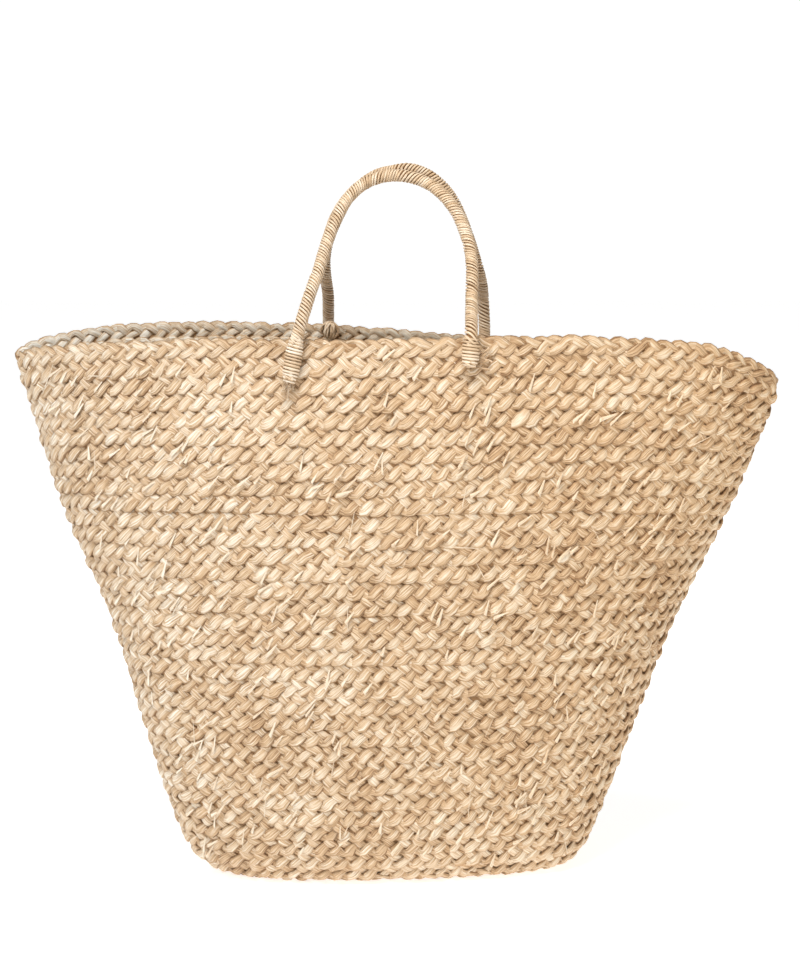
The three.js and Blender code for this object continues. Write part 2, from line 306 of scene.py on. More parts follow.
def plain_floor():
    mesh = bpy.data.meshes.new("floor")
    signs = ((-1, -1), (1, -1), (1, 1), (-1, 1))
    mesh.from_pydata([(x * FLOOR_REACH, y * FLOOR_REACH, 0) for x, y in signs], [],
                     [(0, 1, 2, 3)])
    material, _, shader = new_material("pale_floor")
    shader.inputs["Base Color"].default_value = colour(245, 244, 243)
    shader.inputs["Roughness"].default_value = 0.28
    shader.inputs["Emission Color"].default_value = WHITE
    shader.inputs["Emission Strength"].default_value = FLOOR_GLOW
    mesh.materials.append(material)
    floor = bpy.data.objects.new("floor", mesh)
    scene.collection.objects.link(floor)


def white_room():
    """Even light from all around, brighter where the camera looks straight at it."""
    world = bpy.data.worlds.new("white_room")
    world.use_nodes = True
    room = Tree(world.node_tree)
    seen = room.add("ShaderNodeLightPath", output="Is Camera Ray")
    glow = world.node_tree.nodes["Background"]
    glow.inputs["Color"].default_value = WHITE
    room.tree.links.new((seen * ROOM_SEEN + ROOM_LIGHT).socket, glow.inputs["Strength"])
    scene.world = world


def soft_lamp(name, place, target, size, power, tint=(1, 1, 1)):
    """A round lamp, with its width in metres and its power in watts."""
    data = bpy.data.lights.new(name, "AREA")
    data.shape = "DISK"
    data.size = size
    data.energy = power
    data.color = tint
    lamp = bpy.data.objects.new(name, data)
    lamp.location = place
    lamp.rotation_euler = (Vector(target) - Vector(place)).to_track_quat("-Z", "Y").to_euler()
    scene.collection.objects.link(lamp)
    print(name, "lamp,", power, "W at", place)


plain_floor()
white_room()
soft_lamp("key", (-1.4, -1.7, 1.7), (0, 0, 0.25), 0.6, 19, (0.97, 0.98, 1))
soft_lamp("fill", (1.6, -1.6, 0.9), (0, 0, 0.25), 1.6, 5, (1, 0.96, 0.9))
soft_lamp("top", (-0.2, -0.9, 2.2), (0, 0, 0.4), 1.0, 39)

# %% [markdown]
# ## Straw and raffia
# A strand of straw is a bundle of flat dry stems: fine streaks run along it and each turn of the
# plait has its own tone. Painted light and shade make a strand paler where it rides on top and
# darker where it dives under the next, and painted shade darkens its edges, where it meets its
# neighbours. The strands carry their own marks from the Geometry Nodes, so the streaks follow each
# one: `distance` along it, `ring` around it, `strand` to tell the three apart, and `depth`, which
# is low where it dives. Painted light makes the straw that faces inward paler and the bag's left
# end paler and cooler, and painted shade makes its right end warmer.

# %% The straw's material
PLAIT_PERIOD = 35 * MM

# how much each mark adds to the tone, which runs from the darkest stop at 0 to the palest at 1
FIBRE_TONE = 1.5
FINE_TONE = 0.6
CLOUD_TONE = 0.3
SHADE_TONE = 0.2
# painted light and shade: paler where a strand rides on top, darker where it dives under the next
DIVE_SHADE_TONE = 0.1
# painted light: paler straw on the faces that look into the bag
INWARD_PAINTED_LIGHT = 0.055
DARKENING = 0.83

# painted light and shade: a paler, cooler tint at the bag's left end and a warmer, darker one at
# its right, and how fast one turns into the other over a metre
LEFT_LIGHT_TINT = (0.87, 0.91, 0.95, 1)
RIGHT_SHADE_TINT = (0.9, 0.84, 0.73, 1)
TINT_CHANGE = 1.8

# how the streaks run: waves in a metre of strand, and what sets strands and lobes apart
STREAK_RATE = 60.0
STRAND_KEY = 61.0
LOBE_SHIFT = 1.7
STRAND_SHIFT = 9.0


# the argument after relief sets the painted shade along a strand's edges, where it meets its
# neighbours
def straw_material(name, stops, period, streaks, relief, crease_shade=0.30, roughness=0.6):
    """Dry stems side by side: streaks along each strand, a shade of its own for each turn."""
    material, tree, shader = new_material(name)

    def mark(attribute, output="Fac"):
        return tree.add("ShaderNodeAttribute", {"attribute_name": attribute}, output=output)

    distance, strand, depth = mark("distance"), mark("strand"), mark("depth")
    ring = mark("ring", "Vector")
    around = tree.add("ShaderNodeSeparateXYZ", {}, {"Vector": ring})
    lobe = (distance / period * 2 + strand * (2 / 3) + 0.5).floor()
    key = lobe + strand * STRAND_KEY
    shade = tree.add("ShaderNodeTexWhiteNoise", {"noise_dimensions": "1D"}, {"W": key}, "Value")
    shift = tree.add("ShaderNodeCombineXYZ", {},
                     {"X": key * LOBE_SHIFT, "Y": strand * STRAND_SHIFT,
                      "Z": distance * STREAK_RATE})
    place = ring * streaks + shift
    fibres = tree.add("ShaderNodeTexNoise", {}, {"Vector": place, "Scale": 1.0, "Detail": 3.0,
                                                 "Roughness": 0.6})
    fine = tree.add("ShaderNodeTexNoise", {}, {"Vector": place, "Scale": 2.4, "Detail": 2.0})
    body = tree.add("ShaderNodeTexCoord", output="Object")
    cloud = tree.add("ShaderNodeTexNoise", {}, {"Vector": body, "Scale": 11.0, "Detail": 2.0})
    # painted light and shade from the strand's depth: paler on top, darker where it dives
    painted_dive_shade = depth * around.out("X")
    # painted shade: darker along the strand's edges, where it meets its neighbours
    side = around.out("Y")
    edge = side * side
    tone = fibres * FIBRE_TONE + shade * SHADE_TONE + fine * FINE_TONE + cloud * CLOUD_TONE
    tone = tone + painted_dive_shade * DIVE_SHADE_TONE - DARKENING
    # painted light: the straw that faces inward is made paler
    away = 1.0 - around.out("X")
    tone = tone - edge * edge * crease_shade + away * away * INWARD_PAINTED_LIGHT
    skin = tree.add("ShaderNodeValToRGB", {"stops": stops}, {"Fac": tone}, "Color")
    # painted light and shade across the bag: paler and cooler at the left end, warmer and darker at
    # the right
    width = tree.add("ShaderNodeSeparateXYZ", {}, {"Vector": body})
    painted_side_light = tree.mix(width.out("X") * TINT_CHANGE + 0.5, LEFT_LIGHT_TINT, RIGHT_SHADE_TINT)
    skin = tree.add("ShaderNodeMix", {"data_type": "RGBA", "blend_type": "MULTIPLY"},
                    {0: 1.0, 6: skin, 7: painted_side_light}, output=2)
    height = fibres * 0.7 + fine * 0.3
    bump = tree.add("ShaderNodeBump", {}, {"Strength": relief, "Distance": 1.5 * MM,
                                           "Height": height}, "Normal")
    tree.tree.links.new(skin.socket, shader.inputs["Base Color"])
    tree.tree.links.new(bump.socket, shader.inputs["Normal"])
    shader.inputs["Roughness"].default_value = roughness
    return material


# %% Straw, raffia and the pale cut ends
# the darkest stop of each ramp is the painted shade colour that dives and strand edges fall to, as
# do the darkest streaks
STRAW_STOPS = [(0.08, colour(132, 92, 54)), (0.34, colour(202, 164, 122)),
               (0.56, colour(228, 200, 166)), (0.84, colour(253, 243, 226))]
RAFFIA_STOPS = [(0.05, colour(128, 90, 54)), (0.36, colour(208, 176, 138)),
                (0.6, colour(236, 212, 184)), (0.86, colour(254, 246, 232))]
PALE_STOPS = [(0.0, colour(190, 150, 108)), (0.35, colour(230, 204, 172)),
              (0.8, colour(252, 242, 224))]
RAFFIA_PERIOD = 30 * MM

straw = straw_material("plaited_straw", STRAW_STOPS, PLAIT_PERIOD, streaks=4.6, relief=1.0)
raffia = straw_material("wrapped_raffia", RAFFIA_STOPS, RAFFIA_PERIOD, streaks=1.6, relief=0.5,
                        crease_shade=0.45, roughness=0.5)
pale_end = straw_material("pale_end", PALE_STOPS, RAFFIA_PERIOD, streaks=1.4, relief=0.3,
                          crease_shade=0.1)
for skin in (straw, raffia, pale_end):
    print(skin.name, "with", len(skin.node_tree.nodes), "nodes")


# %% Inner straw
def shaded_inner_straw(name, dark, pale):
    """The straw behind the strands, coloured dark brown as painted shade for the gaps between them.
    """
    material, tree, shader = new_material(name)
    place = tree.add("ShaderNodeTexCoord", output="Object")
    grain = tree.add("ShaderNodeTexNoise", {}, {"Vector": place, "Scale": 260.0, "Detail": 2.0})
    skin = tree.mix(grain, dark, pale)
    bump = tree.add("ShaderNodeBump", {}, {"Strength": 0.4, "Distance": 1 * MM,
                                           "Height": grain}, "Normal")
    tree.tree.links.new(skin.socket, shader.inputs["Base Color"])
    tree.tree.links.new(bump.socket, shader.inputs["Normal"])
    shader.inputs["Roughness"].default_value = 0.85
    return material


# both are dark brown as painted shade: the wall's sheet for the gaps between strands, the cord's
# for the gaps between wraps
wall_shade = shaded_inner_straw("shaded_inner_straw", colour(120, 86, 50), colour(182, 144, 102))
cord_shade = shaded_inner_straw("shaded_inner_cord", colour(116, 80, 46), colour(172, 130, 86))
print("inner straw behind the wall and the cord:", wall_shade.name, cord_shade.name)

# %% [markdown]
# ## Lines that grow into pieces
# The plait, the wraps and the knots are all strands that follow a line. So each piece starts as a
# bare line of points that carries its own directions and measures, and a Geometry Nodes tree turns
# that line into strands. The grown result is kept as a plain mesh, and the line is thrown away.

# %% Geometry Nodes helpers
SOCKETS = {float: "NodeSocketFloat", int: "NodeSocketInt", bpy.types.Material: "NodeSocketMaterial"}


def geometry_tree(name, inputs):
    """An empty Geometry Nodes tree with named inputs, as its tree and a value for each input."""
    group = bpy.data.node_groups.new(name, "GeometryNodeTree")
    group.interface.new_socket("Geometry", in_out="INPUT", socket_type="NodeSocketGeometry")
    for label, kind in inputs.items():
        group.interface.new_socket(label, in_out="INPUT", socket_type=SOCKETS[kind])
    group.interface.new_socket("Geometry", in_out="OUTPUT", socket_type="NodeSocketGeometry")
    tree = Tree(group)
    source = tree.add("NodeGroupInput")
    return tree, {label: source.out(label) for label in ("Geometry", *inputs)}


def end_tree(tree, geometry, material):
    """Realize, smooth and set the material, then lead the result out."""
    real = tree.add("GeometryNodeRealizeInstances", {}, {"Geometry": geometry})
    smooth = tree.add("GeometryNodeSetShadeSmooth", {}, {"Geometry": real})
    dressed = tree.add("GeometryNodeSetMaterial", {}, {"Geometry": smooth, "Material": material})
    output = tree.tree.nodes.new("NodeGroupOutput")
    tree.tree.links.new(dressed.socket, output.inputs["Geometry"])


def named(tree, name, kind="FLOAT"):
    inputs = {"Name": name}
    return tree.add("GeometryNodeInputNamedAttribute", {"data_type": kind}, inputs)


def store(tree, geometry, name, value, kind="FLOAT"):
    return tree.add("GeometryNodeStoreNamedAttribute", {"data_type": kind},
                    {"Geometry": geometry, "Name": name, "Value": value})


def path_mesh(name, points, vectors, numbers):
    """A line of points that carries its own vectors and numbers."""
    mesh = bpy.data.meshes.new(name)
    links = [(i, i + 1) for i in range(len(points) - 1)]
    mesh.from_pydata([tuple(p) for p in points], links, [])
    for label, values in vectors.items():
        attribute = mesh.attributes.new(label, "FLOAT_VECTOR", "POINT")
        attribute.data.foreach_set("vector", np.asarray(values, float).ravel())
    for label, values in numbers.items():
        attribute = mesh.attributes.new(label, "FLOAT", "POINT")
        attribute.data.foreach_set("value", np.asarray(values, float))
    return mesh


def grow(name, mesh, tree, values):
    """Run a Geometry Nodes tree on a mesh and keep the result as a plain mesh object."""
    seed = bpy.data.objects.new(name + "_seed", mesh)
    scene.collection.objects.link(seed)
    modifier = seed.modifiers.new("grow", "NODES")
    modifier.node_group = tree.tree
    for item in tree.tree.interface.items_tree:
        if item.in_out == "INPUT" and item.name in values:
            modifier[item.identifier] = values[item.name]
    result = seed.evaluated_get(bpy.context.evaluated_depsgraph_get())
    grown = bpy.data.meshes.new_from_object(result)
    bpy.data.objects.remove(seed)
    grown.name = name
    piece = bpy.data.objects.new(name, grown)
    scene.collection.objects.link(piece)
    grown.calc_loop_triangles()
    print(name, len(grown.loop_triangles), "triangles")
    return piece


def lengths(points):
    """How far along a line each of its points lies."""
    steps = np.linalg.norm(np.diff(points, axis=0), axis=1)
    return np.concatenate([[0.0], np.cumsum(steps)])


# %% Strands from a line
def copied_line(tree, given, amount):
    """Evenly stepped copies of the line, each of which knows its own number."""
    line = tree.add("GeometryNodeMeshToCurve", {}, {"Mesh": given["Geometry"]})
    line = tree.add("GeometryNodeResampleCurve", {"mode": "LENGTH"},
                    {"Curve": line, "Length": given["Step"]})
    copies = tree.add("GeometryNodeDuplicateElements", {"domain": "SPLINE"},
                      {"Geometry": line, "Amount": amount})
    return store(tree, copies, "strand", copies.out("Duplicate Index"))


def wander(tree, distance, strand, rate, apart):
    """Three values that drift around 0 along a strand, in a way of its own for each strand."""
    place = tree.add("ShaderNodeCombineXYZ", {}, {"X": distance * rate, "Y": strand * apart})
    noise = tree.add("ShaderNodeTexNoise", {}, {"Vector": place, "Scale": 1.0, "Detail": 2.0},
                     "Color")
    parts = tree.add("ShaderNodeSeparateXYZ", {}, {"Vector": noise})
    return [parts.out(n) - 0.5 for n in "XYZ"]


def oval_ring(tree, corners, size):
    """A ring to sweep along a strand. It notes its round place before it is flattened."""
    ring = tree.add("GeometryNodeCurvePrimitiveCircle", {"mode": "RADIUS"},
                    {"Resolution": corners, "Radius": 1.0})
    ring = store(tree, ring, "ring", tree.add("GeometryNodeInputPosition"), "FLOAT_VECTOR")
    return tree.add("GeometryNodeTransform", {}, {"Geometry": ring, "Scale": size})


def sweep_flat(tree, given, strands, facing, corners, fullness):
    """Sweep a flat oval along the strands, with its thin side towards where they face."""
    strands = tree.add("GeometryNodeSetCurveNormal", {"mode": "FREE"},
                       {"Curve": strands, "Normal": facing})
    size = tree.add("ShaderNodeCombineXYZ", {}, {"X": given["Thickness"] * 0.5,
                                                 "Y": given["Width"] * 0.5, "Z": 1.0})
    ring = oval_ring(tree, corners, size)
    return tree.add("GeometryNodeCurveToMesh", {},
                    {"Curve": strands, "Profile Curve": ring, "Scale": fullness,
                     "Fill Caps": True})


# %% [markdown]
# ## The plait
# Three strands sway across the row in turn and dip under one another twice in each sway. So the
# offset across is a sine and the offset outward is a sine of twice the angle, a third of a turn
# apart for each strand. Higher up the bag the lobes that lean right lie on top and hide part of
# the others, which `favour` adds from row to row. Geometry Nodes copy the coil's line three times,
# push the copies by those sums, and sweep a flat oval along them.

# %% The plait's tree
# across: how unevenly the lobes follow one another, how far the favoured ones stretch, how
# bluntly a strand turns back at the edge, and how much of the reach it takes
SLIP = 0.26
SKEW = 0.4
BLUNTNESS = 0.08
SWAY = 0.91

# outward: what favoured rows lose of the plain dive, and how much a narrow plait flattens
PLAIN_LOSS = 0.6
NARROW_LIFT = 0.6

# a strand's own form: how far it leans, how much it swells, and how its lobes fill out
LEAN = 0.7
SWELL = 1.1
FULLNESS = 1.04
LEAF = 0.12
HIDING = 0.2


def plait_tree():
    inputs = {"Period": float, "Reach": float, "Rise": float, "Overlap": float, "Width": float,
              "Thickness": float, "Step": float, "Looseness": float,
              "Material": bpy.types.Material}
    tree, given = geometry_tree("plait", inputs)
    strands = copied_line(tree, given, 3)
    strand, distance = (named(tree, n) for n in ("strand", "distance"))
    narrow, favour = (named(tree, n) for n in ("narrow", "favour"))
    across, out = (named(tree, n, "FLOAT_VECTOR") for n in ("across", "out"))
    slip, swell, stray = wander(tree, distance, strand, rate=70.0, apart=7.3)
    angle = (distance / given["Period"] + strand / 3.0 + slip * SLIP) * (2 * math.pi)
    skewed = angle + angle.sine() * favour * SKEW
    wave = skewed.sine() - (skewed * 3.0).sine() * BLUNTNESS
    sway = wave * SWAY * given["Reach"] * narrow + stray * given["Looseness"]
    plain = (angle * 2.0).sine() * -1.0
    depth = plain + (angle.cosine() - plain * PLAIN_LOSS) * favour
    evened = narrow * NARROW_LIFT + (1.0 - NARROW_LIFT)
    lift = depth * given["Rise"] * evened + swell * given["Looseness"]
    lift = lift - angle.sine() * given["Overlap"] * narrow
    # the depth also sets the straw's painted light and shade where strands ride on top and dive
    strands = store(tree, strands, "depth", depth)
    strands = tree.add("GeometryNodeSetPosition", {},
                       {"Geometry": strands, "Offset": across * sway + out * lift})
    leaning = out + across * (stray * LEAN)
    leaf = (angle * 4.0).cosine() * (favour * LEAF - LEAF)
    leaf = leaf + (angle * 2.0).cosine() * favour * HIDING
    full = narrow * (swell * SWELL + FULLNESS + leaf)
    swept = sweep_flat(tree, given, strands, leaning, corners=8, fullness=full)
    end_tree(tree, swept, given["Material"])
    return tree


plait = plait_tree()
print("plait tree with", len(plait.tree.nodes), "nodes")

# %% The coil's line, from the spine of the base to the tail at the right corner
# degrees along the coil from where the wall starts, and the stretches over which it thins
START = -4.85 * 360
END = ROWS * 360 + 10
RIM_START = (ROWS - 1) * 360
RIM_BLEND = 40
HEAD = 60
TAIL = 42
TAIL_ROWS = 0.35

# shares of the plait's width that are left or lost
THINNEST = 0.25
RIM_THINNING = 0.17
BASE_THINNING = 0.22

# row, how much the lobes that lean right are favoured
FAVOUR = np.array([[0, 0], [8, 0], [15, 0.08], [21, 0.25], [32, 0.3], [34, 0.3]])

total = np.arange(START, END + 1, 1.0)
rim_share = np.clip((total - RIM_START) / RIM_BLEND + 0.5, 0, 1)
floor_share = np.clip((360 - total) / 360, 0, 1)
tail_share = np.clip((total - END + TAIL) / TAIL, 0, 1)
narrow = (1 - RIM_THINNING * rim_share) * (1 - BASE_THINNING * floor_share)
narrow = narrow * np.clip((total - START) / HEAD, THINNEST, 1)
narrow = narrow * np.clip(1 - (1 - THINNEST) * tail_share, THINNEST, 1)
favour = np.interp(total / 360, FAVOUR[:, 0], FAVOUR[:, 1])
rows = coil_row(total) - TAIL_ROWS * tail_share
spots, _, across, out = coil_frame(rows, total)
distance = lengths(spots)
print("plait", round(float(distance[-1]), 2), "m in", ROWS + BASE_RINGS, "rows")

PLAIT = {"Period": PLAIT_PERIOD, "Reach": 6.4 * MM, "Rise": 1.3 * MM, "Overlap": 0.9 * MM,
         "Width": 7.8 * MM, "Thickness": 3.0 * MM, "Step": 2.9 * MM, "Looseness": 3.2 * MM,
         "Material": straw}
BASE_PLAIT = dict(PLAIT, Overlap=0.0, Looseness=1.8 * MM)
WALL_PARTS = [0, 9, 17, 25, 33]


def finish_piece(piece, slot, *nodes):
    """Put a piece on the root body it rides on and hide the solids it stands for; its slot is not
    used.
    """
    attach(piece, "root")
    if nodes:
        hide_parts(*nodes)


def coil_piece(name, first, last, node, sizes=PLAIT):
    """The plait from one turn of the coil to another."""
    part = (total >= first * 360) & (total <= last * 360)
    mesh = path_mesh(name, spots[part], {"across": across[part], "out": out[part]},
                     {"distance": distance[part], "narrow": narrow[part],
                      "favour": favour[part]})
    finish_piece(grow(name, mesh, plait, sizes), "straw_plait", node)


coil_piece("base_plait", -5, 0, "basket_base", BASE_PLAIT)
for number, (first, last) in enumerate(zip(WALL_PARTS, WALL_PARTS[1:]), 1):
    coil_piece(f"wall_plait_{number}", first, last, "basket_wall")
coil_piece("rim_plait", 33, 35, "rim_braid")

# %% [markdown]
# ## The inner straw
# A real plait is thick with straw that the outer strands only partly cover. A thin sheet in the
# middle of the wall stands for it, so that no daylight comes through, and its dark brown is painted
# shade for the gaps between the strands. A plain grid over the wall's rule is enough, since it is
# seen only in the gaps.

# %% A sheet over the wall's rule
# the rows where the sheet has points, from the base's spine to just under the top of the rim
LEVELS = np.array([-4.9, -4, -3, -2, -1, 0, *np.arange(0.5, 33.1, 0.5), 33.4, 33.8])
SHEET_STEP = 4.0


def grid_mesh(name, grid, material):
    """A mesh over a grid of points, closed around its second direction."""
    count, around = grid.shape[:2]
    faces = []
    for i in range(count - 1):
        for j in range(around):
            k = (j + 1) % around
            faces.append((i * around + j, i * around + k, (i + 1) * around + k,
                          (i + 1) * around + j))
    mesh = bpy.data.meshes.new(name)
    mesh.from_pydata([tuple(p) for p in grid.reshape(-1, 3)], [], faces)
    mesh.materials.append(material)
    mesh.shade_smooth()
    piece = bpy.data.objects.new(name, mesh)
    scene.collection.objects.link(piece)
    print(name, 2 * len(faces), "triangles")
    return piece


angles = np.arange(0, 360, SHEET_STEP)
sheet = np.stack([coil_point(level, angles) for level in LEVELS])
# the sheet's dark brown is painted shade in the gaps between the strands
finish_piece(grid_mesh("wall_inner_straw", sheet, wall_shade), "straw_plait")

# %% [markdown]
# ## The handles
# Each handle is a cord wrapped closely in split raffia. Five strands run side by side around the
# cord, so the wraps lie at a slant, and they are never quite even. The cord's line repeats the
# solid's: a leg on the wall, the loop, and the other leg. Geometry Nodes copy that line once for
# each strand and turn the copies around it.

# %% The handles' lines
HANDLE_RISE = 120 * MM
HANDLE_SPREAD = 130 * MM
HANDLE_REACH = 84 * MM
STAND_OFF = 9.15 * MM
LEG_SHARES = (0, 0.25, 0.5, 0.75, 1)

# angle at the foot's lower end and at the rim, rows from end to end, the knot's row as a share
FEET = {
    "front_left": (257, 258.5, 2.3, 0.945),
    "front_right": (283.4, 283.4, 1.5, 0.945),
    "back_left": (101, 101.5, 2, 0.995),
    "back_right": (77, 77, 2, 0.965),
}

# middle in millimetres, side, then the loop's points as shares of half spread, reach and rise
LOOPS = {
    "front": (-8, -1, [(-0.79, 0.75, 0.29), (-0.69, 0.60, 0.44), (-0.61, 0.46, 0.59),
                       (-0.50, 0.33, 0.74), (-0.35, 0.19, 0.88), (-0.14, 0.09, 0.97),
                       (0.12, 0.08, 1.01), (0.38, 0.08, 1.00), (0.61, 0.11, 0.95),
                       (0.77, 0.19, 0.88), (0.91, 0.29, 0.78), (1.00, 0.39, 0.67),
                       (1.06, 0.49, 0.56), (1.08, 0.60, 0.44), (1.07, 0.78, 0.25)]),
    "back": (12, 1, [(-0.96, 0.82, 0.21), (-0.98, 0.72, 0.31), (-0.99, 0.63, 0.40),
                     (-0.98, 0.55, 0.49), (-0.89, 0.40, 0.67), (-0.76, 0.25, 0.81),
                     (-0.56, 0.13, 0.93), (-0.34, 0.09, 1.01), (-0.13, 0.08, 1.04),
                     (0.05, 0.08, 1.05), (0.24, 0.08, 1.02), (0.40, 0.11, 0.96),
                     (0.56, 0.21, 0.86), (0.68, 0.33, 0.73), (0.80, 0.49, 0.56),
                     (0.90, 0.64, 0.39), (0.95, 0.73, 0.29), (0.98, 0.85, 0.17)]),
}


def leg_point(foot, share, stand_off=STAND_OFF):
    """A point on a handle's leg, from its lower end at 0 to the rim at 1."""
    low, high, deep, _ = FEET[foot]
    spot, _, _, away = coil_frame(ROWS - deep * (1 - share), low + (high - low) * share)
    return spot + away * stand_off


def smooth_line(points, steps=24):
    """A centripetal Catmull-Rom curve through the points."""
    points = np.asarray(points)
    ends = [2 * points[0] - points[1]], [2 * points[-1] - points[-2]]
    line = np.concatenate([ends[0], points, ends[1]])
    pieces = []
    for a, b, c, d in zip(line, line[1:], line[2:], line[3:]):
        ab, bc, cd = (np.linalg.norm(q - p) ** 0.5 for p, q in ((a, b), (b, c), (c, d)))
        first = ((b - a) / ab - (c - a) / (ab + bc) + (c - b) / bc) * bc
        last = ((c - b) / bc - (d - b) / (bc + cd) + (d - c) / cd) * bc
        t = np.linspace(0, 1, steps, endpoint=False)[:, None]
        pieces.append(b + first * t + (3 * (c - b) - 2 * first - last) * t**2
                      + (2 * (b - c) + first + last) * t**3)
    return np.concatenate([*pieces, points[-1:]])


def handle_line(end):
    """The cord's middle line: up one leg, around the loop and down the other leg."""
    middle, side, loop = LOOPS[end]
    legs = [[leg_point(f"{end}_{hand}", share) for share in LEG_SHARES]
            for hand in ("left", "right")]
    arch = [((middle * MM) + across * HANDLE_SPREAD / 2, side * lean * HANDLE_REACH,
             FLOOR + WALL_HEIGHT + rise * HANDLE_RISE) for across, lean, rise in loop]
    return smooth_line([*legs[0], *arch, *legs[1][::-1]])


def cord_frame(line):
    """Two directions square to a cord's line. The first has no part in the bag's depth."""
    along = unit(np.gradient(line, axis=0))
    side = unit(np.cross(along, (0.0, 1.0, 0.0)))
    return side, np.cross(side, along)


def sleeve(line, side, up, sides=12):
    """Rings of points around a line."""
    turn = np.linspace(0, 2 * np.pi, sides, endpoint=False)[None, :, None]
    return line[:, None] + side[:, None] * np.cos(turn) + up[:, None] * np.sin(turn)


# %% The wrap's tree
WRAP_LIFT = 0.12
WRAP_SWELL = 0.7
DRIFT_RATE = 38.0


def wrap_tree():
    inputs = {"Lead": float, "Strands": int, "Width": float, "Thickness": float, "Step": float,
              "Looseness": float, "Drift": float, "Material": bpy.types.Material}
    tree, given = geometry_tree("wrap", inputs)
    strands = copied_line(tree, given, given["Strands"])
    strand, distance = (named(tree, n) for n in ("strand", "distance"))
    side, up = (named(tree, n, "FLOAT_VECTOR") for n in ("side", "up"))
    drift = tree.add("ShaderNodeTexNoise", {"noise_dimensions": "1D"},
                     {"W": distance * DRIFT_RATE, "Scale": 1.0, "Detail": 1.0})
    slip, swell, lift = wander(tree, distance, strand, rate=260.0, apart=5.7)
    turns = distance / given["Lead"] + strand / given["Strands"] + drift * given["Drift"]
    angle = turns * (2 * math.pi)
    radial = side * angle.cosine() + up * angle.sine()
    along = tree.add("GeometryNodeInputTangent")
    offset = radial * (lift * WRAP_LIFT + 1.0) + along * (slip * given["Looseness"])
    # the depth also sets the raffia's painted shade where a wrap sinks and painted light where it
    # stands up
    strands = store(tree, strands, "depth", lift * 2.0 + 0.5)
    strands = tree.add("GeometryNodeSetPosition", {}, {"Geometry": strands, "Offset": offset})
    full = swell * WRAP_SWELL + 1.0
    swept = sweep_flat(tree, given, strands, radial, corners=6, fullness=full)
    end_tree(tree, swept, given["Material"])
    return tree


wrap = wrap_tree()
print("wrap tree with", len(wrap.tree.nodes), "nodes")

# %% The handles' cords and wraps
CORE_RADIUS = 3.6 * MM
WRAP_RADIUS = 4.15 * MM
HANDLE_WRAP = {"Lead": 12 * MM, "Strands": 5, "Width": 2.05 * MM, "Thickness": 1.6 * MM,
               "Step": 1.0 * MM, "Looseness": 1.2 * MM, "Drift": 0.5, "Material": raffia}

for end in LOOPS:
    node = f"{end}_handle"
    line = handle_line(end)
    side, up = cord_frame(line)
    tube = sleeve(line, side * CORE_RADIUS, up * CORE_RADIUS)
    # the cord's dark brown is painted shade in the gaps between the wraps
    finish_piece(grid_mesh(f"{node}_cord", tube, cord_shade), "raffia_wrap", node)
    mesh = path_mesh(f"{node}_wrap", line, {"side": side * WRAP_RADIUS, "up": up * WRAP_RADIUS},
                     {"distance": lengths(line)})
    finish_piece(grow(f"{node}_wrap", mesh, wrap, HANDLE_WRAP), "raffia_wrap", node)
    print(node, "line", round(float(lengths(line)[-1]), 3), "m")

# %% [markdown]
# ## The lashings
# Each leg ends under a close lashing that goes around it and through the wall. One strand winds
# around the leg with hardly any slant. The turns draw in at both ends, most at the lower one.

# %% Lashings at the four feet
LASHING = {"Lead": 2.4 * MM, "Strands": 1, "Width": 2.3 * MM, "Thickness": 1.5 * MM,
           "Step": 0.2 * MM, "Looseness": 1.5 * MM, "Drift": 0.3, "Material": raffia}
LASHING_SIDE = 6.1 * MM
LASHING_DEPTH = 5.6 * MM
LASHING_INSET = 0.6 * MM

# share of the leg, how full the lashing is there
LASHING_FORM = np.array([[-0.08, 0.6], [0.2, 0.97], [0.7, 1.0], [1.02, 0.76]])
shares = np.linspace(LASHING_FORM[0, 0], LASHING_FORM[-1, 0], 60)
fullness = np.interp(shares, LASHING_FORM[:, 0], LASHING_FORM[:, 1])[:, None]

for foot in FEET:
    name = f"{foot}_lashing"
    line = np.stack([leg_point(foot, share, STAND_OFF - LASHING_INSET) for share in shares])
    side, up = cord_frame(line)
    vectors = {"side": side * fullness * LASHING_SIDE, "up": up * fullness * LASHING_DEPTH}
    mesh = path_mesh(name, line, vectors, {"distance": lengths(line)})
    finish_piece(grow(name, mesh, wrap, LASHING), "raffia_wrap", f"{foot}_binding")

# %% [markdown]
# ## The knots
# The lashings are tied off inside the bag. The photograph shows one such knot, at the far rim. It
# is a ball of loops, so a line goes around an oval again and again in slowly turning planes, and
# the plait's tree bundles three thin strands along it.

# %% Knots inside the wall
KNOT = {"Period": 30 * MM, "Reach": 0.9 * MM, "Rise": 0.5 * MM, "Overlap": 0.0,
        "Width": 2.2 * MM, "Thickness": 1.3 * MM, "Step": 1.6 * MM, "Looseness": 0.9 * MM,
        "Material": raffia}
KNOT_SIZE = (7.4 * MM, 6.4 * MM, 3.9 * MM)
KNOT_POINTS = 240
KNOT_TURNS = 6.5
KNOT_SWING = 2.6
KNOT_ROCK = 0.3
KNOT_SINK = 4.85 * MM
RIM_BACKING = 8 * MM
WALL_BACKING = 5 * MM


def knot_line(foot):
    """A line wound into an oval ball on the inner face of the wall."""
    low, _, _, place = FEET[foot]
    spot, along, across, away = coil_frame(place * ROWS, low)
    backing = RIM_BACKING if place > (ROWS - 1) / ROWS else WALL_BACKING
    middle = spot - away * (backing / 2 + KNOT_SINK)
    turn = np.linspace(0, KNOT_TURNS * 2 * np.pi, KNOT_POINTS)
    plane = np.linspace(0, KNOT_SWING, KNOT_POINTS) + KNOT_ROCK * np.sin(turn / 2)
    long, tall, deep = KNOT_SIZE
    return (middle + along * (np.cos(turn) * np.cos(plane))[:, None] * long
            + across * np.sin(turn)[:, None] * tall
            + away * (np.cos(turn) * np.sin(plane))[:, None] * deep)


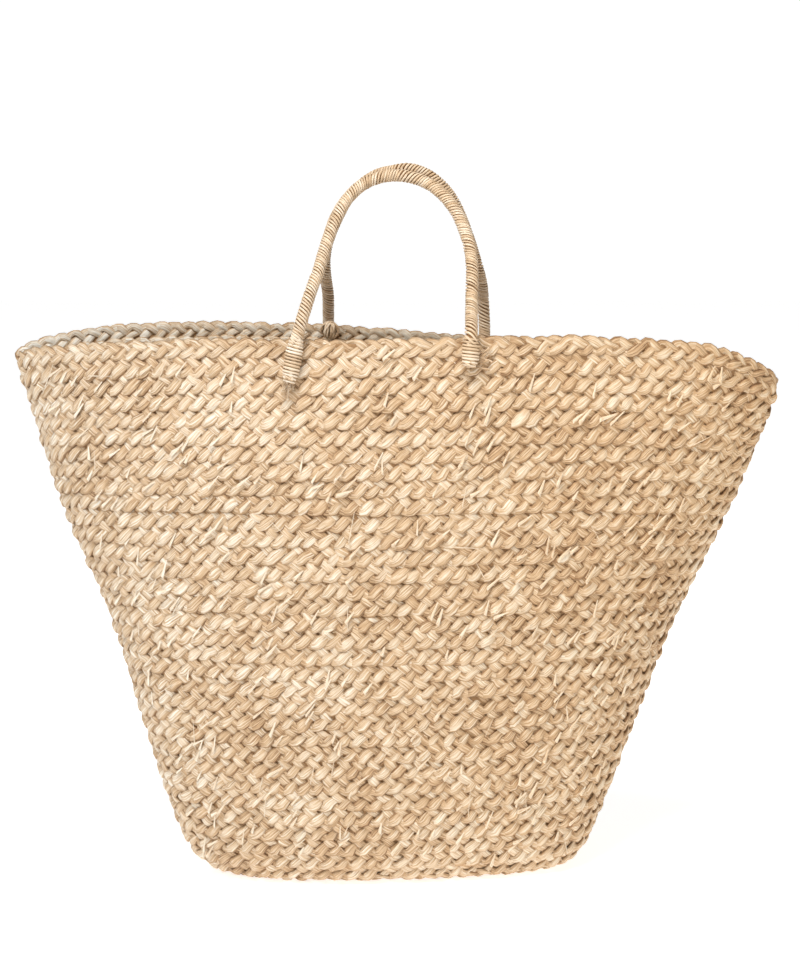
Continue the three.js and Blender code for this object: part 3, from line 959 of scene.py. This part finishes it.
for foot in FEET:
    name = f"{foot}_tied_knot"
    line = knot_line(foot)
    outward = unit(line - line.mean(0))
    along = unit(np.gradient(line, axis=0))
    mesh = path_mesh(name, line, {"across": unit(np.cross(outward, along)), "out": outward},
                     {"distance": lengths(line), "narrow": np.ones(len(line)),
                      "favour": np.zeros(len(line))})
    finish_piece(grow(name, mesh, plait, KNOT), "raffia_wrap", f"{foot}_knot")

# %% [markdown]
# ## Loose straws
# Hand plaiting leaves cut ends. On the photograph most of them stand out to the lower left, a
# centimetre or so long, paler than the plait. A seeded generator picks places and turns on the
# wall's rule, and Geometry Nodes set one bent blade on each. The same blades make the frayed
# raffia at the two front feet.

# %% One bent blade for each point
BLADE_MIDDLE = (0.5, 0.03, 0.16)
BLADE_TIP = (1, -0.05, 0.2)
BLADE_ROOT = 0.35
BLADE_MARKS = 20 * MM


def sliver_tree():
    tree, given = geometry_tree("slivers", {"Material": bpy.types.Material})
    bend = tree.add("GeometryNodeCurveQuadraticBezier", {},
                    {"Resolution": 5, "Start": (0, 0, 0), "Middle": BLADE_MIDDLE,
                     "End": BLADE_TIP})
    share = tree.add("GeometryNodeSplineParameter", output="Factor")
    bend = store(tree, bend, "distance", share * BLADE_MARKS)
    ring = oval_ring(tree, 5, (0.5, 0.5, 1.0))
    fullness = share * (1 - BLADE_ROOT) + BLADE_ROOT
    blade = tree.add("GeometryNodeCurveToMesh", {},
                     {"Curve": bend, "Profile Curve": ring, "Scale": fullness,
                      "Fill Caps": True})
    blade = tree.add("GeometryNodeSetShadeSmooth", {}, {"Geometry": blade})
    placed = tree.add("GeometryNodeInstanceOnPoints", {},
                      {"Points": given["Geometry"], "Instance": blade,
                       "Rotation": named(tree, "turn", "FLOAT_VECTOR"),
                       "Scale": named(tree, "size", "FLOAT_VECTOR")})
    end_tree(tree, placed, given["Material"])
    return tree


slivers = sliver_tree()
print("blade tree with", len(slivers.tree.nodes), "nodes")

# %% Blades on the wall
STRAW_RISE = 3.6 * MM
STRAW_ROWS = (2.6, 33.6)
BROAD_SIDE = (25, 155)
STRAW_LEAN = 236
MOST_TIP = 7
FLATNESS = 0.6
SHADES = 90


def straw_turns(along, across, out, lean, tip):
    """Euler turns that lay a blade at an angle to the row, with its far end tipped up."""
    flat = along * np.cos(lean)[:, None] + across * np.sin(lean)[:, None]
    x = flat * np.cos(tip)[:, None] + out * np.sin(tip)[:, None]
    z = out * np.cos(tip)[:, None] - flat * np.sin(tip)[:, None]
    frames = np.stack([x, np.cross(z, x), z], 2)
    return np.array([tuple(Matrix(frame.tolist()).to_euler()) for frame in frames])


def lay_straws(name, chance, row, angle, lean, length, width, rise=STRAW_RISE, skin=pale_end):
    """A blade on each spot of the wall, at its own angle to the row."""
    count = len(row)
    spots, along, across, out = coil_frame(row, angle)
    tip = np.radians(chance.uniform(0, MOST_TIP, count))
    long = chance.uniform(*length, count)
    wide = chance.uniform(*width, count)
    turns = straw_turns(along, across, out, np.radians(lean), tip)
    size = np.stack([long, wide, wide * FLATNESS], 1)
    mesh = path_mesh(name, spots + out * rise, {"turn": turns, "size": size},
                     {"strand": chance.integers(0, SHADES, count).astype(float)})
    finish_piece(grow(name, mesh, slivers, {"Material": skin}), "straw_plait")


def loose_straws(name, count, seed, length, width, spread):
    """Ends all over the two broad sides of the bag."""
    chance = np.random.default_rng(seed)
    row = chance.uniform(*STRAW_ROWS, count)
    angle = chance.uniform(*BROAD_SIDE, count) + 180 * chance.integers(0, 2, count)
    lean = chance.normal(STRAW_LEAN, spread, count)
    lay_straws(name, chance, row, angle, lean, length, width)


loose_straws("loose_ends", 560, 7, (7 * MM, 14 * MM), (2.0 * MM, 3.6 * MM), spread=16)
loose_straws("loose_hairs", 90, 11, (9 * MM, 22 * MM), (0.7 * MM, 1.1 * MM), spread=40)

# %% Frayed raffia at the front feet
FRAY_ROWS = (-0.2, 0.6)
FRAY_ANGLES = (-0.4, 0.4)
FRAY_WIDTH = (1.2 * MM, 2.2 * MM)
FRAY_RISE = 5 * MM


def tuft(foot, count, seed, aside, lean, spread, length):
    """The frayed ends of a lashing, fanned out beside or below a handle's foot."""
    chance = np.random.default_rng(seed)
    low, _, deep, _ = FEET[foot]
    row = ROWS - deep + chance.uniform(*FRAY_ROWS, count)
    angle = low + aside + chance.uniform(*FRAY_ANGLES, count)
    leans = lean + chance.uniform(-spread, spread, count)
    lay_straws(f"{foot}_tuft", chance, row, angle, leans, length, FRAY_WIDTH, FRAY_RISE, raffia)


tuft("front_right", 16, 3, aside=0.9, lean=10, spread=50, length=(7 * MM, 12 * MM))
tuft("front_left", 8, 5, aside=-0.2, lean=262, spread=25, length=(8 * MM, 14 * MM))
